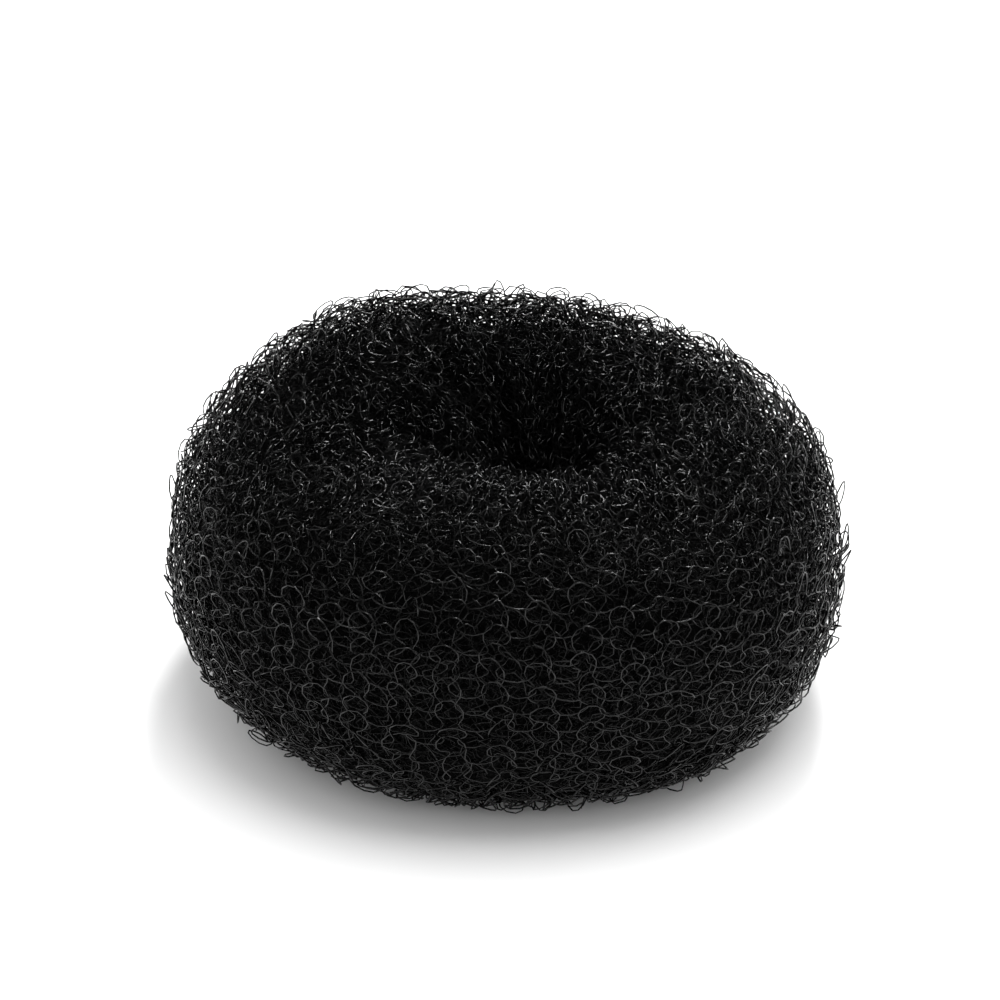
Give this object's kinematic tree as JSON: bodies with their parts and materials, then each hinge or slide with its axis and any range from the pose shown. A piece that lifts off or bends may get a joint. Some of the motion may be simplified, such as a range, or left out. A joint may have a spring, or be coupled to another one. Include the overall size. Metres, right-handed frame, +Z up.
{
  "type": "hair doughnut",
  "caption": "Springy ring of black knitted net, rolled up on itself, that a ponytail is pulled through and wrapped over to shape a full bun.",
  "frame": {"origin": "middle of the ring's bounding box, on the flat underside that rests on the table", "axes": "+Z up through the hole, +X to the picture's right, +Y away from the picture's viewer"},
  "size_m": [0.08, 0.0784, 0.0396],
  "materials": {
    "nylon_net": "open knit of shiny black nylon thread"
  },
  "bodies": {
    "root": {"rolled_sleeve": "nylon_net"}
  },
  "joints": []
}
